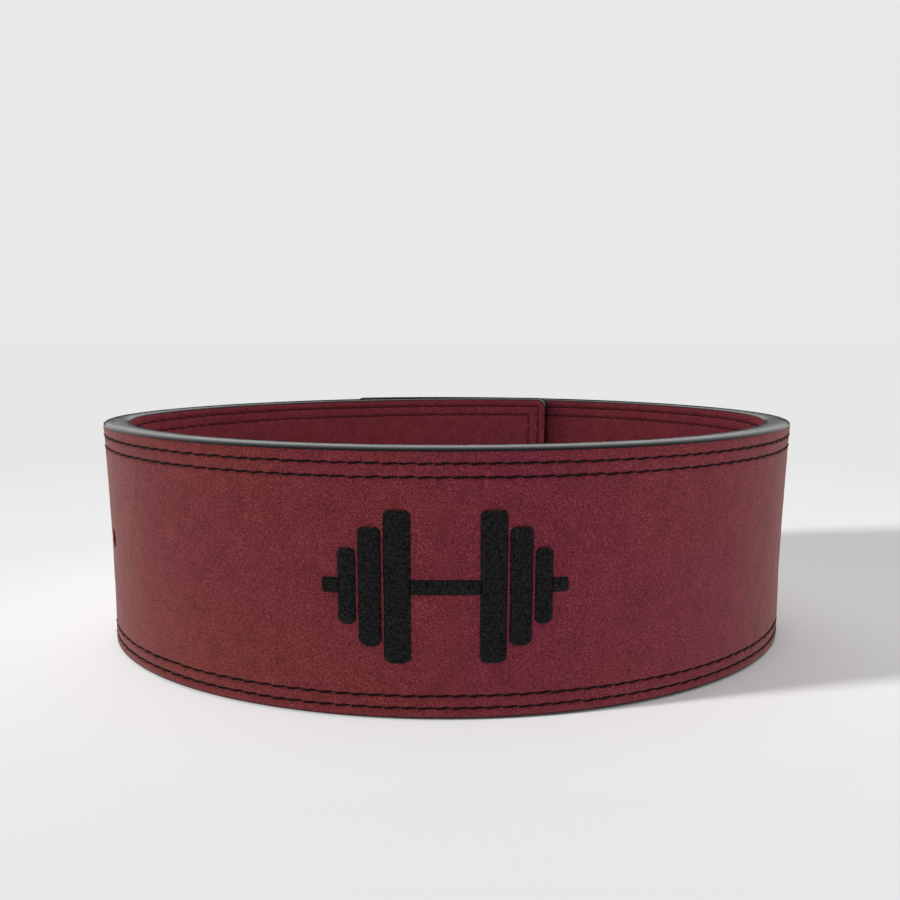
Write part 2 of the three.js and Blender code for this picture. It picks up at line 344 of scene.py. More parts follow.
def closed_body(name, outline, front, rings, back, back_rows=9):
    """A plate bent along the strap. Front, rings and back are pairs of inset and depth, in that order
    round the plate's edge; a depth is a number or a function of the places along and up the strap."""
    def depth_of(depth, arc, z):
        return depth(arc, z) if callable(depth) else np.full(arc.shape, float(depth))

    blocks = []
    arc, z = outline.grid(front[0])
    columns, rows = arc.shape
    blocks.append(on_strap(arc, depth_of(front[1], arc, z), z).reshape(-1, 3))
    numbers = np.arange(columns * rows).reshape(columns, rows)
    lines = [quads_between(numbers[:, j], numbers[:, j + 1])[:, ::-1] for j in range(rows - 1)]
    # Each face starts one corner on, which turns the diagonal that it is split along.
    faces = [np.concatenate(lines)[:, [1, 2, 3, 0]]]
    last_ring = rim_of(numbers)
    total = columns * rows
    for inset, depth in [*rings, back]:
        arc, z = outline.rim(inset)
        blocks.append(on_strap(arc, depth_of(depth, arc, z), z))
        ring = np.arange(total, total + len(arc))
        total += len(arc)
        faces.append(quads_between(np.append(last_ring, last_ring[0]), np.append(ring, ring[0])))
        last_ring = ring

    shares = np.linspace(0, 1, back_rows)
    inside = (slice(1, -1), slice(1, -1))
    arc, z = (values[inside] for values in outline.grid(back[0], shares))
    blocks.append(on_strap(arc, depth_of(back[1], arc, z), z).reshape(-1, 3))
    coarse = np.zeros((columns, back_rows), int)
    coarse[inside] = np.arange(total, total + (columns - 2) * (back_rows - 2)).reshape(columns - 2, -1)
    coarse[:, 0] = last_ring[:columns]
    coarse[:, -1] = last_ring[columns + rows - 2:2 * columns + rows - 2][::-1]
    for j in range(back_rows - 1):
        faces.append(quads_between(coarse[1:-1, j], coarse[1:-1, j + 1]))
    right_line = last_ring[columns - 1:columns + rows - 1]
    left_line = np.append(last_ring[2 * columns + rows - 3:], last_ring[0])[::-1]
    points = np.concatenate(blocks)
    heights = points[:, 2]
    ends = zip_lines(left_line, coarse[1], heights)
    ends += [face[::-1] for face in zip_lines(right_line, coarse[-2], heights)]
    return make_piece(name, points, np.concatenate(faces).tolist() + ends)


def tubes(name, arc, z, depth, heading, half_width, half_height, sides, twist=0.0, lobe=0.0):
    """Many closed threads. Arc, z, depth and heading have a row for each thread and a column for each
    ring; the half sizes have one value for each ring."""
    count, rings = arc.shape
    turn = np.linspace(0, WHOLE_TURN, sides, endpoint=False)
    swell = 1 + lobe * np.cos(2 * (turn[None, :] - np.asarray(twist).reshape(-1, 1)))
    across = half_width[:, None] * np.cos(turn) * swell
    down = -half_height[:, None] * np.sin(turn) * swell
    ring_arc = arc[..., None] - across * np.sin(heading)[..., None]
    ring_z = z[..., None] + across * np.cos(heading)[..., None]
    points = on_strap(ring_arc, depth[..., None] + down, ring_z).reshape(-1, 3)
    one = np.arange(rings * sides).reshape(rings, sides)
    closed = np.concatenate([one, one[:, :1]], axis=1)
    walls = np.concatenate([quads_between(closed[i + 1], closed[i]) for i in range(rings - 1)])
    starts = (np.arange(count) * rings * sides)[:, None, None]
    faces = (walls[None] + starts).reshape(-1, 4).tolist()
    faces += (one[0][::-1][None] + starts[:, 0]).tolist()
    faces += (one[-1][None] + starts[:, 0]).tolist()
    return make_piece(name, points, faces)


def rods(name, places, radius, outer_depth, inner_depth, sides=48):
    """Round rods through the strap's thickness, one for each pair of a place along and a height."""
    # The corners lie off the strap's own columns and rows of points, so that no walls fall together.
    first_corner = 0.61
    turn = (np.arange(sides) + first_corner) * WHOLE_TURN / sides
    blocks = []
    faces = []
    for arc, z in places:
        foot = on_strap(arc, outer_depth, z)
        end = foot - np.append(face_normal(angle_at(arc)), 0) * (inner_depth - outer_depth) * MM
        angle = angle_at(arc)
        along = np.array([math.cos(angle), math.sin(angle), 0])
        circle = np.outer(np.cos(turn), along) + np.outer(np.sin(turn), [0, 0, 1])
        first = len(blocks) * sides
        blocks.append(foot + circle * radius * MM)
        blocks.append(end + circle * radius * MM)
        top = np.arange(first, first + sides)
        bottom = top + sides
        faces += quads_between(np.append(top, top[0]), np.append(bottom, bottom[0])).tolist()
        faces += [top.tolist(), bottom[::-1].tolist()]
    return make_piece(name, np.concatenate(blocks), faces)


def boolean(piece, other, operation):
    """Joins or cuts a piece by another one, which is then removed. Corners that fall together are merged,
    and faces with more than four sides are split."""
    step = piece.modifiers.new("boolean", "BOOLEAN")
    step.operation = operation
    step.solver = "MANIFOLD"
    step.object = other
    made = piece.evaluated_get(bpy.context.evaluated_depsgraph_get())
    mesh = bpy.data.meshes.new_from_object(made)
    piece.modifiers.clear()
    body = bmesh.new()
    body.from_mesh(mesh)
    bmesh.ops.remove_doubles(body, verts=body.verts, dist=SAME_POINT * MM)
    many_sided = [face for face in body.faces if len(face.verts) > 4]
    bmesh.ops.triangulate(body, faces=many_sided, ngon_method="BEAUTY")
    body.to_mesh(mesh)
    body.free()
    old = piece.data
    piece.data = mesh
    bpy.data.meshes.remove(old)
    mesh.name = piece.name
    bpy.data.objects.remove(other)


def finish_piece(piece, nodes, materials, sharp_over=40.0):
    piece.data.materials.clear()
    for material in materials:
        piece.data.materials.append(material)
    piece.data.shade_smooth()
    piece.data.set_sharp_from_angle(angle=math.radians(sharp_over))
    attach(piece, "root")
    if nodes:
        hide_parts(*nodes)


# Relief of the strap's faces
def waves(arc, z, height, shortest, longest, seed):
    """A smooth unevenness with no direction of its own."""
    draws = np.random.default_rng(seed)
    total = np.zeros(np.broadcast(arc, z).shape)
    count = 12
    for _ in range(count):
        number = WHOLE_TURN / draws.uniform(shortest, longest)
        heading = draws.uniform(0, WHOLE_TURN)
        phase = draws.uniform(0, WHOLE_TURN)
        total += np.sin(number * (arc * math.cos(heading) + z * math.sin(heading)) + phase)
    return height * total / math.sqrt(count)


def row_rise(arc, z):
    """How far the upper rows of stitches lie closer to the edge, as they do over the back of the belt.
    The rise begins a third of the way from the front to the back, and is full at two thirds."""
    share = smooth(np.abs(angle_at(arc)) * 3 / math.pi - 1)
    return np.where(z > MIDDLE, ROW_RISE_AT_BACK * share, 0)


def from_rectangle(arc, z, end, low, high, corner):
    """Distance inside a rounded rectangle on the strap, which its distances from the edges give."""
    middle = (INNER_TIP + OUTER_TIP) / 2
    half_length = (OUTER_TIP - INNER_TIP) / 2 - end
    half_height = (STRAP_HEIGHT - low - high) / 2
    side = np.abs(arc - middle) - half_length + corner
    upright = np.abs(z - low - half_height) - half_height + corner
    outside = np.hypot(np.maximum(side, 0), np.maximum(upright, 0))
    return corner - outside - np.minimum(np.maximum(side, upright), 0)


def lay_stitches(row, seed):
    """Middle, heading and length of each stitch of a row, with a little unevenness. A row has four
    sides: two along the strap, which rise at the back, and two across its ends."""
    draws = np.random.default_rng(seed)
    start, end = INNER_TIP + row["end"], OUTER_TIP - row["end"]
    low, high = row["low"], STRAP_HEIGHT - row["high"]
    corners = [(arc, z + float(row_rise(arc, z))) for arc, z in
               ((start, low), (end, low), (end, high), (start, high), (start, low))]
    levels_along = {0: low, 2: high}
    sides = []
    for side, ((from_arc, from_z), (to_arc, to_z)) in enumerate(zip(corners, corners[1:])):
        run = np.hypot(to_arc - from_arc, to_z - from_z)
        count = round(run / STITCH_PITCH)
        shares = (np.arange(count) + 0.5) / count + draws.normal(0, PLACE_SPREAD, count) / run
        arc = from_arc + (to_arc - from_arc) * shares
        if side in levels_along:
            level = np.full(count, levels_along[side])
            z = level + row_rise(arc, level)
        else:
            z = from_z + (to_z - from_z) * shares
        length = run / count * STITCH_LENGTH / STITCH_PITCH
        sides.append({
            "arc": arc,
            "z": z + draws.normal(0, HEIGHT_SPREAD, count),
            "heading": side * math.pi / 2 + STITCH_SLANT + draws.normal(0, HEADING_SPREAD, count),
            "length": length + draws.normal(0, LENGTH_SPREAD, count),
        })
    return {key: np.concatenate([side[key] for side in sides]) for key in sides[0]}


STITCHES = [lay_stitches(row, 40 + i) for i, row in enumerate(STITCH_ROWS)]


def needle_marks(arc, z):
    """Small pits where the thread goes into the leather."""
    pits = np.zeros(arc.shape)
    columns = arc[:, arc.shape[1] // 2]
    for stitches in STITCHES:
        for side in (-1, 1):
            reach = side * stitches["length"] / 2
            places = stitches["arc"] + reach * np.cos(stitches["heading"])
            heights = stitches["z"] + reach * np.sin(stitches["heading"])
            for place, height in zip(places, heights):
                near = slice(*np.searchsorted(columns, [place - PIT_REACH, place + PIT_REACH]))
                away = np.hypot(arc[near] - place, z[near] - height)
                pits[near] += PIT_DEPTH * np.exp(-((away / PIT_RADIUS) ** 2))
    return pits


def suede_relief(seed, inset):
    """How far the suede lies below the flat face, as a function of place."""
    def relief(arc, z):
        from_edge = from_rectangle(arc, z, 0, 0, 0, END_CORNER)
        sunk = EDGE_SINK * (1 - smooth((from_edge - inset) / EDGE_SINK_RUN))
        for row in STITCH_ROWS:
            level = z - row_rise(arc, z)
            away = from_rectangle(arc, level, row["end"], row["low"], row["high"], ROW_CORNER)
            sunk = sunk + ROW_DEPTH * np.exp(-((away / ROW_SPREAD) ** 2))
        for place in HOLE_ARCS:
            away = np.hypot(arc - place, z - MIDDLE) - HOLE_RADIUS
            sunk = sunk + HOLE_SINK * np.exp(-np.maximum(away, 0) / HOLE_SINK_RUN)
        fade = smooth((from_edge - inset) / UNEVEN_FADE)
        uneven = waves(arc, z, **LARGE_WAVES, seed=seed) + waves(arc, z, **SMALL_WAVES, seed=seed + 1)
        return sunk + needle_marks(arc, z) + fade * (uneven + LEVEL_SINK)
    return relief


def suede_rows(inset):
    """Shares of the height at which a face has its rows: close by the stitches, wider between them."""
    edge = np.linspace(inset, STITCHED_BAND, 27)
    between = np.linspace(STITCHED_BAND, STRAP_HEIGHT - STITCHED_BAND, 34)[1:-1]
    heights = np.concatenate([edge, between, STRAP_HEIGHT - edge[::-1]])
    return (heights - inset) / (STRAP_HEIGHT - 2 * inset)


def hole_cutters():
    """Rods for the adjustment holes and for the buckle's studs. Where the ends overlap, they stop short
    of the other layer."""
    past = 0.4
    cutters = rods("cutters", [(arc, MIDDLE) for arc in HOLE_ARCS], HOLE_RADIUS,
                   -past, STRAP_THICKNESS + past)
    studs = rods("stud_cutters", [(STUD_ARC, z) for z in STUD_HEIGHTS], STUD_RADIUS + STUD_CLEARANCE,
                 -past, STRAP_THICKNESS + past)
    return cutters, studs


def cut_holes(piece):
    for cutter in hole_cutters():
        boolean(piece, cutter, "DIFFERENCE")


def outer_suede(materials):
    rows = suede_rows(OUTER_INSET)
    strap = Outline(INNER_TIP, OUTER_TIP, 0, STRAP_HEIGHT, END_CORNER, FACE_STEP, rows)
    relief = suede_relief(11, OUTER_INSET)
    side_inset = OUTER_INSET - FACE_SIDE_TUCK
    piece = closed_body(
        "outer_suede_face", strap,
        (OUTER_INSET, relief),
        [(side_inset, FACE_SIDE_TOP)],
        (side_inset, SUEDE_THICKNESS))
    cut_holes(piece)
    finish_piece(piece, ["outer_suede"], materials)


def inner_suede(materials):
    rows = suede_rows(INNER_INSET)
    strap = Outline(INNER_TIP, OUTER_TIP, 0, STRAP_HEIGHT, END_CORNER, FACE_STEP, rows)
    relief = suede_relief(23, INNER_INSET)
    side_inset = INNER_INSET - FACE_SIDE_TUCK

    def face(arc, z):
        return STRAP_THICKNESS - relief(arc, z)

    piece = closed_body(
        "inner_suede_face", strap,
        (INNER_INSET, face),
        [(side_inset, STRAP_THICKNESS - FACE_SIDE_TOP)],
        (side_inset, STRAP_THICKNESS - SUEDE_THICKNESS))
    piece.data.flip_normals()
    cut_holes(piece)
    finish_piece(piece, ["inner_suede"], materials)


def edge_inset(depth, rise):
    """How far the painted edge lies inside the strap's outline: a low crown, and more at its bevels."""
    across = (2 * depth - STRAP_THICKNESS) / (STRAP_THICKNESS - 2 * PAINT_LIP)
    return EDGE_CROWN * across ** 2 + rise


def bevel(width, height):
    """Insets and depths of one side of the painted edge, from the face of the suede to the crown."""
    turns = np.linspace(0, math.pi / 2, 9)
    depth = PAINT_LIP + width * (1 - np.cos(turns))
    return list(zip(edge_inset(depth, height * (1 - np.sin(turns))), depth))


def edge_profile(outer_recess, inner_recess):
    """Insets and depths round the painted edge, from the outer recess over the crown to the inner."""
    outer = [(outer_recess, RECESS_TOP), *bevel(OUTER_BEVEL_WIDTH, OUTER_BEVEL_HEIGHT)]
    inner = [(inner_recess, RECESS_TOP), *bevel(INNER_BEVEL_WIDTH, INNER_BEVEL_HEIGHT)]
    inner = [(inset, STRAP_THICKNESS - depth) for inset, depth in reversed(inner)]
    between = np.linspace(outer[-1][1], inner[0][1], 8)[1:-1]
    return outer + list(zip(edge_inset(between, 0), between)) + inner


def leather_core(materials):
    """The core and its painted edges in one body: the suede lies in a shallow recess on each face."""
    strap = Outline(INNER_TIP, OUTER_TIP, 0, STRAP_HEIGHT, END_CORNER, 2.0, np.linspace(0, 1, 15), 8)
    floor = SUEDE_THICKNESS + RECESS_CLEARANCE
    outer_recess = OUTER_INSET - RECESS_CLEARANCE
    inner_recess = INNER_INSET - RECESS_CLEARANCE
    piece = closed_body(
        "core_with_painted_edges", strap,
        (outer_recess, floor), edge_profile(outer_recess, inner_recess),
        (inner_recess, STRAP_THICKNESS - floor), back_rows=15)
    cut_holes(piece)
    finish_piece(piece, ["leather_core"], materials)


def stitches(name, face_sign, materials):
    """All stitches of one face: each a twisted thread that dips into the leather at both ends."""
    width = THREAD_WIDTH if face_sign > 0 else INNER_THREAD_WIDTH
    along = np.linspace(-1, 1, 14)
    taper = THREAD_END + THREAD_SWELL * (1 - along ** 2) ** 0.7
    arc = np.concatenate([s["arc"] for s in STITCHES])[:, None]
    z = np.concatenate([s["z"] for s in STITCHES])[:, None]
    heading = np.concatenate([s["heading"] for s in STITCHES])[:, None]
    reach = np.concatenate([s["length"] for s in STITCHES])[:, None] / 2
    arcs = arc + along * reach * np.cos(heading)
    heights = z + along * reach * np.sin(heading)
    wave = STITCH_WAVE * np.sin(math.pi * along)
    arcs = arcs - wave * np.sin(heading)
    heights = heights + wave * np.cos(heading)
    sink = ROW_DEPTH - THREAD_PROUD + THREAD_ARCH * along ** 2 + THREAD_DIP * np.abs(along) ** 12
    sink = np.broadcast_to(sink, arcs.shape)
    depth = sink if face_sign > 0 else STRAP_THICKNESS - sink - INNER_THREAD_SINK
    headings = np.broadcast_to(heading, arcs.shape)
    piece = tubes(name, arcs, heights, depth, headings, taper * width / 2,
                  taper * THREAD_HEIGHT / 2, 8, twist=along * THREAD_TWIST, lobe=THREAD_LOBE)
    finish_piece(piece, [], materials, sharp_over=60.0)


# Embroidery
def emblem_patches():
    """Rectangles of the barbell from the middle out, and whether their threads run along the strap."""
    patches = []
    reach = GRIP_LENGTH / 2
    patches.append({"from": -reach, "to": reach, "height": BAR_HEIGHT,
                    "corner": BAR_CORNER, "along": False})
    for disc in DISCS:
        width = disc["width"] * DISC_WIDTH
        height = disc["height"] * DISC_HEIGHT
        for start in (reach, -reach - width):
            patches.append({"from": start, "to": start + width, "height": height,
                            "corner": DISC_CORNER, "along": True})
        reach += width + DISC_SPACING
    for start in (reach - DISC_SPACING, -reach + DISC_SPACING - BAR_END - DISC_SPACING):
        patches.append({"from": start, "to": start + BAR_END + DISC_SPACING, "height": BAR_HEIGHT,
                        "corner": BAR_CORNER, "along": False})
    return patches


def dome(share):
    """Height of a padded stitch across its column, from 0 at both sides to 1."""
    fullness = 3.2
    return np.sqrt(np.clip(1 - np.abs(2 * share - 1) ** fullness, 0, 1))


def emblem_threads(patch, draws):
    """Middle lines of the satin stitches that cover a patch."""
    along = np.linspace(0, 1, SATIN_RINGS)
    half = patch["height"] / 2
    middle = (patch["from"] + patch["to"]) / 2
    half_width = (patch["to"] - patch["from"]) / 2
    span = half if patch["along"] else half_width
    count = round(2 * span / SATIN_PITCH)
    offsets = (np.arange(count) + 0.5) / count * 2 * span - span
    reach = half_width if patch["along"] else half
    into_corner = np.maximum(patch["corner"] - (span - np.abs(offsets)), 0)
    cut = patch["corner"] - np.sqrt(np.maximum(patch["corner"] ** 2 - into_corner ** 2, 0))
    starts = -(reach - cut) + draws.normal(0, SATIN_END_SPREAD, count)
    ends = reach - cut + draws.normal(0, SATIN_END_SPREAD, count)
    run = starts[:, None] + (ends - starts)[:, None] * along
    lean = draws.normal(0, SATIN_LEAN_SPREAD, count)[:, None] * (along - 0.5) * 2
    place = offsets[:, None] + lean
    if patch["along"]:
        arcs, heights, heading = middle + run, MIDDLE + place, 0.0
    else:
        arcs, heights, heading = middle + place, MIDDLE + run, math.pi / 2
    proud = (EMBLEM_SEAT + EMBLEM_RELIEF - SATIN_BELOW_TOP) * dome(along) - SATIN_TUCK
    depth = -proud + draws.normal(0, SATIN_DEPTH_SPREAD, count)[:, None]
    return arcs, heights, depth, np.full(arcs.shape, heading)


def emblem(materials):
    draws = np.random.default_rng(5)
    rows = [emblem_threads(patch, draws) for patch in emblem_patches()]
    arcs, heights, depth, heading = (np.concatenate(values) for values in zip(*rows))
    half = np.full(SATIN_RINGS, SATIN_HALF_WIDTH)
    threads = tubes("emblem_threads", arcs, heights, depth, heading, half, half * SATIN_FLATNESS, 6)
    finish_piece(threads, [], materials, sharp_over=80.0)
    pads = None
    for i, patch in enumerate(emblem_patches()):
        half_height = patch["height"] / 2
        outline = Outline(patch["from"] + PADDING_INSET, patch["to"] - PADDING_INSET,
                          MIDDLE - half_height + PADDING_INSET, MIDDLE + half_height - PADDING_INSET,
                          patch["corner"], 1.0, np.linspace(0, 1, 12), 3)

        def face(arc, z, patch=patch):
            if patch["along"]:
                share = (arc - patch["from"]) / (patch["to"] - patch["from"])
            else:
                share = (z - MIDDLE) / patch["height"] + 0.5
            return -(EMBLEM_SEAT + EMBLEM_RELIEF - PADDING_BELOW_TOP) * dome(share) + SATIN_TUCK

        pad = closed_body(f"pad_{i}", outline, (0.2, face), [(0.0, 0.2)], (0.0, 0.6), back_rows=3)
        if pads is None:
            pads = pad
        else:
            boolean(pads, pad, "UNION")
    pads.name = "emblem_padding"
    finish_piece(pads, ["emblem_embroidery"], materials)


# Lever buckle
def rounded(radius, depth, steps):
    """Insets and depths of a rounded edge that starts on the face and ends on the side."""
    turns = np.linspace(0, math.pi / 2, steps + 1)
    return [(radius * (1 - math.sin(t)), depth + radius * (1 - math.cos(t))) for t in turns]


def buckle_plate():
    outline = Outline(PLATE_FROM, PLATE_TO - PLATE_SET_BACK,
                      MIDDLE - PLATE_HEIGHT / 2, MIDDLE + PLATE_HEIGHT / 2,
                      PLATE_CORNER, 2.0, np.linspace(0, 1, 9), 10)
    face = -SEAT_GAP - PLATE_THICKNESS
    edge = rounded(0.6, face, 3)
    return closed_body("plate", outline, edge[0], edge[1:], (0.0, -SEAT_GAP))


def buckle_lever():
    start = PLATE_TO - LEVER_LENGTH
    outline = Outline(start, PLATE_TO, MIDDLE - LEVER_HEIGHT / 2, MIDDLE + LEVER_HEIGHT / 2,
                      LEVER_CORNER, 1.5, np.linspace(0, 1, 41), 12)
    face = -SEAT_GAP - PLATE_THICKNESS - LEVER_RISE
    edge = rounded(LEVER_ROUND, face, 8)

    def pressed(arc, z):
        from_side = np.minimum(np.minimum(arc - start, PLATE_TO - arc),
                               LEVER_HEIGHT / 2 - np.abs(z - MIDDLE))
        return face + PANEL_DEPTH * smooth((from_side - PANEL_BORDER) / PANEL_SLOPE)

    return closed_body("lever", outline, (LEVER_ROUND, pressed), edge[1:],
                       (0.0, -SEAT_GAP - PLATE_THICKNESS + FUSE_DEPTH))


def buckle_hook():
    edge_arc = arc_at(angle_at(OUTER_TIP) - WHOLE_TURN)
    hole_arc = min(arc for arc in HOLE_ARCS if arc > edge_arc + HOOK_REACH)
    plate_level = -STRAP_THICKNESS - ENDS_GAP
    drop_from = edge_arc + PLATE_FROM_END
    drop_to = hole_arc - HOOK_PAD

    def under(arc, z):
        return plate_level * smooth((drop_to - arc) / (drop_to - drop_from)) - SEAT_GAP

    def face(arc, z):
        return under(arc, z) - HOOK_THICKNESS

    def lowered(drop):
        return lambda arc, z: face(arc, z) + drop

    edge = [(HOOK_ROUND_MIDDLE, lowered(HOOK_ROUND_MIDDLE)), (0.0, lowered(HOOK_ROUND))]
    outline = Outline(edge_arc - PLATE_FROM_END - PLATE_CORNER, hole_arc + HOOK_PAD,
                      MIDDLE - HOOK_HEIGHT / 2, MIDDLE + HOOK_HEIGHT / 2,
                      HOOK_CORNER, 1.0, np.linspace(0, 1, 9), 8)
    arm = closed_body("hook", outline, (HOOK_ROUND, face), edge, (0.0, under))
    pin = rods("pin", [(hole_arc, MIDDLE)], HOLE_RADIUS - HOOK_PIN_CLEARANCE,
               -SEAT_GAP - FUSE_DEPTH, STRAP_THICKNESS - SEAT_GAP, 40)
    boolean(arm, pin, "UNION")
    return arm


def screw_head(z):
    """A low domed head with a hexagonal socket, from its hidden foot to the bottom of the socket."""
    sides = 48
    turn = (np.arange(sides) + 0.5) * WHOLE_TURN / sides
    rings = []
    for t in np.linspace(0, math.acos((SOCKET_RADIUS + SOCKET_RIM) / SCREW_HEAD_RADIUS), 8):
        rings.append((np.full(sides, SCREW_HEAD_RADIUS * math.cos(t)), SCREW_HEAD_RISE * math.sin(t)))
    from_side_middle = (turn + math.pi / 6) % (math.pi / 3) - math.pi / 6
    hexagon = SOCKET_RADIUS * math.cos(math.pi / 6) / np.cos(from_side_middle)
    top = rings[-1][1]
    rings += [
        (hexagon * SOCKET_FLARE, top),
        (hexagon, top - SOCKET_BEVEL),
        (hexagon, top - SOCKET_DEPTH),
    ]
    foot = on_strap(STUD_ARC, -SEAT_GAP - PLATE_THICKNESS + FUSE_DEPTH, z)
    angle = float(angle_at(STUD_ARC))
    out = np.append(face_normal(angle), 0)
    along = np.array([math.cos(angle), math.sin(angle), 0])
    up = np.array([0, 0, 1])
    points = [foot + (np.outer(radius * np.cos(turn), along) + np.outer(radius * np.sin(turn), up)
                      + (FUSE_DEPTH + rise) * out) * MM for radius, rise in rings]
    points.insert(0, points[0] - FUSE_DEPTH * out * MM)
    numbers = np.arange(len(points) * sides).reshape(len(points), sides)
    closed = np.concatenate([numbers, numbers[:, :1]], axis=1)
    walls = [quads_between(second, first) for first, second in zip(closed, closed[1:])]
    faces = np.concatenate(walls).tolist()
    faces += [numbers[0][::-1].tolist(), numbers[-1].tolist()]
    return make_piece("screw_head", np.concatenate(points), faces)


def lever_buckle(materials):
    piece = buckle_plate()
    boolean(piece, buckle_lever(), "UNION")
    boolean(piece, buckle_hook(), "UNION")
    for z in STUD_HEIGHTS:
        boolean(piece, rods("stud", [(STUD_ARC, z)], STUD_RADIUS, -SEAT_GAP - FUSE_DEPTH,
                            STRAP_THICKNESS, 32), "UNION")
        boolean(piece, screw_head(z), "UNION")
    piece.name = "lever_buckle_polished"
    finish_piece(piece, ["lever_buckle"], materials, sharp_over=35.0)


# Materials
class Finish:
    """A material in the making: its shader and short ways to add the nodes that feed it."""

    def __init__(self, name, **values):
        self.material = bpy.data.materials.new(name)
        self.material.use_nodes = True
        self.nodes = self.material.node_tree.nodes
        self.links = self.material.node_tree.links
        self.shader = self.nodes["Principled BSDF"]
        for socket, value in values.items():
            self.shader.inputs[socket.replace("_", " ")].default_value = value
        self.place = self.nodes.new("ShaderNodeTexCoord").outputs["Object"]

    def feed(self, socket, value):
        self.links.new(value, self.shader.inputs[socket])

    def noise(self, size, detail=2.0, roughness=0.5, stretch=(1, 1, 1)):
        """Noise whose spots are about that many millimetres across."""
        mapping = self.nodes.new("ShaderNodeMapping")
        mapping.inputs["Scale"].default_value = stretch
        self.links.new(self.place, mapping.inputs["Vector"])
        node = self.nodes.new("ShaderNodeTexNoise")
        node.inputs["Scale"].default_value = 1 / (size * MM)
        node.inputs["Detail"].default_value = detail
        node.inputs["Roughness"].default_value = roughness
        self.links.new(mapping.outputs["Vector"], node.inputs["Vector"])
        return node.outputs["Fac"]

    def ramp(self, value, *stops):
        """Colours at places from 0 to 1; a stop is a place and a grey or a colour."""
        node = self.nodes.new("ShaderNodeValToRGB")
        elements = node.color_ramp.elements
        while len(elements) < len(stops):
            elements.new(0.5)
        for element, (place, tone) in zip(elements, stops):
            element.position = place
            element.color = (*tone, 1) if isinstance(tone, tuple) else (tone, tone, tone, 1)
        self.links.new(value, node.inputs["Fac"])
        return node.outputs["Color"]

    def across(self, *stops):
        """Colours from the left side of the belt to its right side, at places from 0 to 1."""
        axes = self.nodes.new("ShaderNodeSeparateXYZ")
        self.links.new(self.place, axes.inputs["Vector"])
        share = self.nodes.new("ShaderNodeMapRange")
        share.inputs["From Min"].default_value = -OVAL_WIDTH / 2 * MM
        share.inputs["From Max"].default_value = OVAL_WIDTH / 2 * MM
        self.links.new(axes.outputs["X"], share.inputs["Value"])
        return self.ramp(share.outputs["Result"], *stops)

    def mix(self, share, first, second, way="MIX"):
        node = self.nodes.new("ShaderNodeMix")
        node.data_type = "RGBA"
        node.blend_type = way
        for number, value in ((0, share), (6, first), (7, second)):
            socket = node.inputs[number]
            if isinstance(value, bpy.types.NodeSocket):
                self.links.new(value, socket)
            else:
                socket.default_value = (*value, 1) if isinstance(value, tuple) else value
        return node.outputs[2]

    def bump(self, *layers):
        """Layers of heights, each with its depth in millimetres."""
        normal = None
        for height, depth in layers:
            node = self.nodes.new("ShaderNodeBump")
            node.inputs["Strength"].default_value = 1.0
            node.inputs["Distance"].default_value = depth * MM
            self.links.new(height, node.inputs["Height"])
            if normal is not None:
                self.links.new(normal, node.inputs["Normal"])
            normal = node.outputs["Normal"]
        self.feed("Normal", normal)


def suede(name, dark, light, purple, sheen, tints_and_painted_shade=()):
    """Short-napped suede: a fine speckle over softer mottling and large patches of warmer and cooler
    red. The colours across the belt, if given, multiply its colour at places from the left of the belt
    to the right; they are partly the suede's own colour and partly painted shade, darker in the middle
    and paler at the flanks."""
    finish = Finish(name, Roughness=0.92, Specular_IOR_Level=0.06, Sheen_Weight=sheen,
                    Sheen_Roughness=0.42, Sheen_Tint=(1.0, 0.86, 0.77, 1.0))
    speckle = finish.noise(0.6, 3.0, 0.8)
    tone = finish.mix(finish.ramp(speckle, (0.38, 0.0), (0.53, 0.38), (0.67, 1.0)), dark, light)
    patches = finish.ramp(finish.noise(75, 2.0, 0.5), (0.38, 0.0), (0.66, 1.0))
    tone = finish.mix(patches, tone, finish.mix(1.0, tone, purple, "MULTIPLY"))
    mottle = finish.ramp(finish.noise(7.5, 4.0, 0.62), (0.25, 0.84), (0.75, 1.14))
    tone = finish.mix(1.0, tone, mottle, "MULTIPLY")
    if tints_and_painted_shade:
        # Partly painted shade: the colour across the belt darkens its middle and leaves its flanks paler.
        tone = finish.mix(1.0, tone, finish.across(*tints_and_painted_shade), "MULTIPLY")
    finish.feed("Base Color", tone)
    finish.bump((finish.noise(6.0, 3.0, 0.6), 0.18), (speckle, 0.16))
    return finish.material


def edge_paint():
    """Black edge paint, brushed on in several coats: satin, a little rippled, rubbed here and there."""
    finish = Finish("edge_paint", Specular_IOR_Level=0.2)
    rub = finish.ramp(finish.noise(3.0, 4.0, 0.7), (0.55, 0.0), (0.75, 1.0))
    finish.feed("Base Color", finish.mix(rub, (0.003, 0.0025, 0.0025), (0.011, 0.0095, 0.009)))
    finish.feed("Roughness", finish.ramp(finish.noise(9.0, 3.0, 0.6), (0.3, 0.1), (0.7, 0.18)))
    finish.bump((finish.noise(2.2, 3.0, 0.5), 0.07), (finish.noise(0.5, 2.0, 0.5), 0.015))
    return finish.material


def thread(name, dark, light):
    """Twisted sewing thread, with its single fibres as fine streaks."""
    finish = Finish(name, Roughness=0.7, Specular_IOR_Level=0.1)
    strand = finish.noise(0.35, 3.0, 0.7)
    finish.feed("Base Color", finish.ramp(strand, (0.3, dark), (0.75, light)))
    finish.bump((strand, 0.06))
    return finish.material


def embroidery():
    """Satin stitches of black thread, with painted highlights where single threads would catch the light
    and painted shade between them.
    """
    finish = Finish("black_embroidery", Roughness=0.6, Specular_IOR_Level=0.12)
    # Painted highlight and shade: lighter specks for threads that catch the light, darker between them.
    painted_glint = finish.noise(0.9, 3.0, 0.85)
    finish.feed("Base Color", finish.ramp(painted_glint, (0.43, 0.0005), (0.6, 0.024)))
    finish.bump((finish.noise(0.35, 3.0, 0.7), 0.08))
    return finish.material


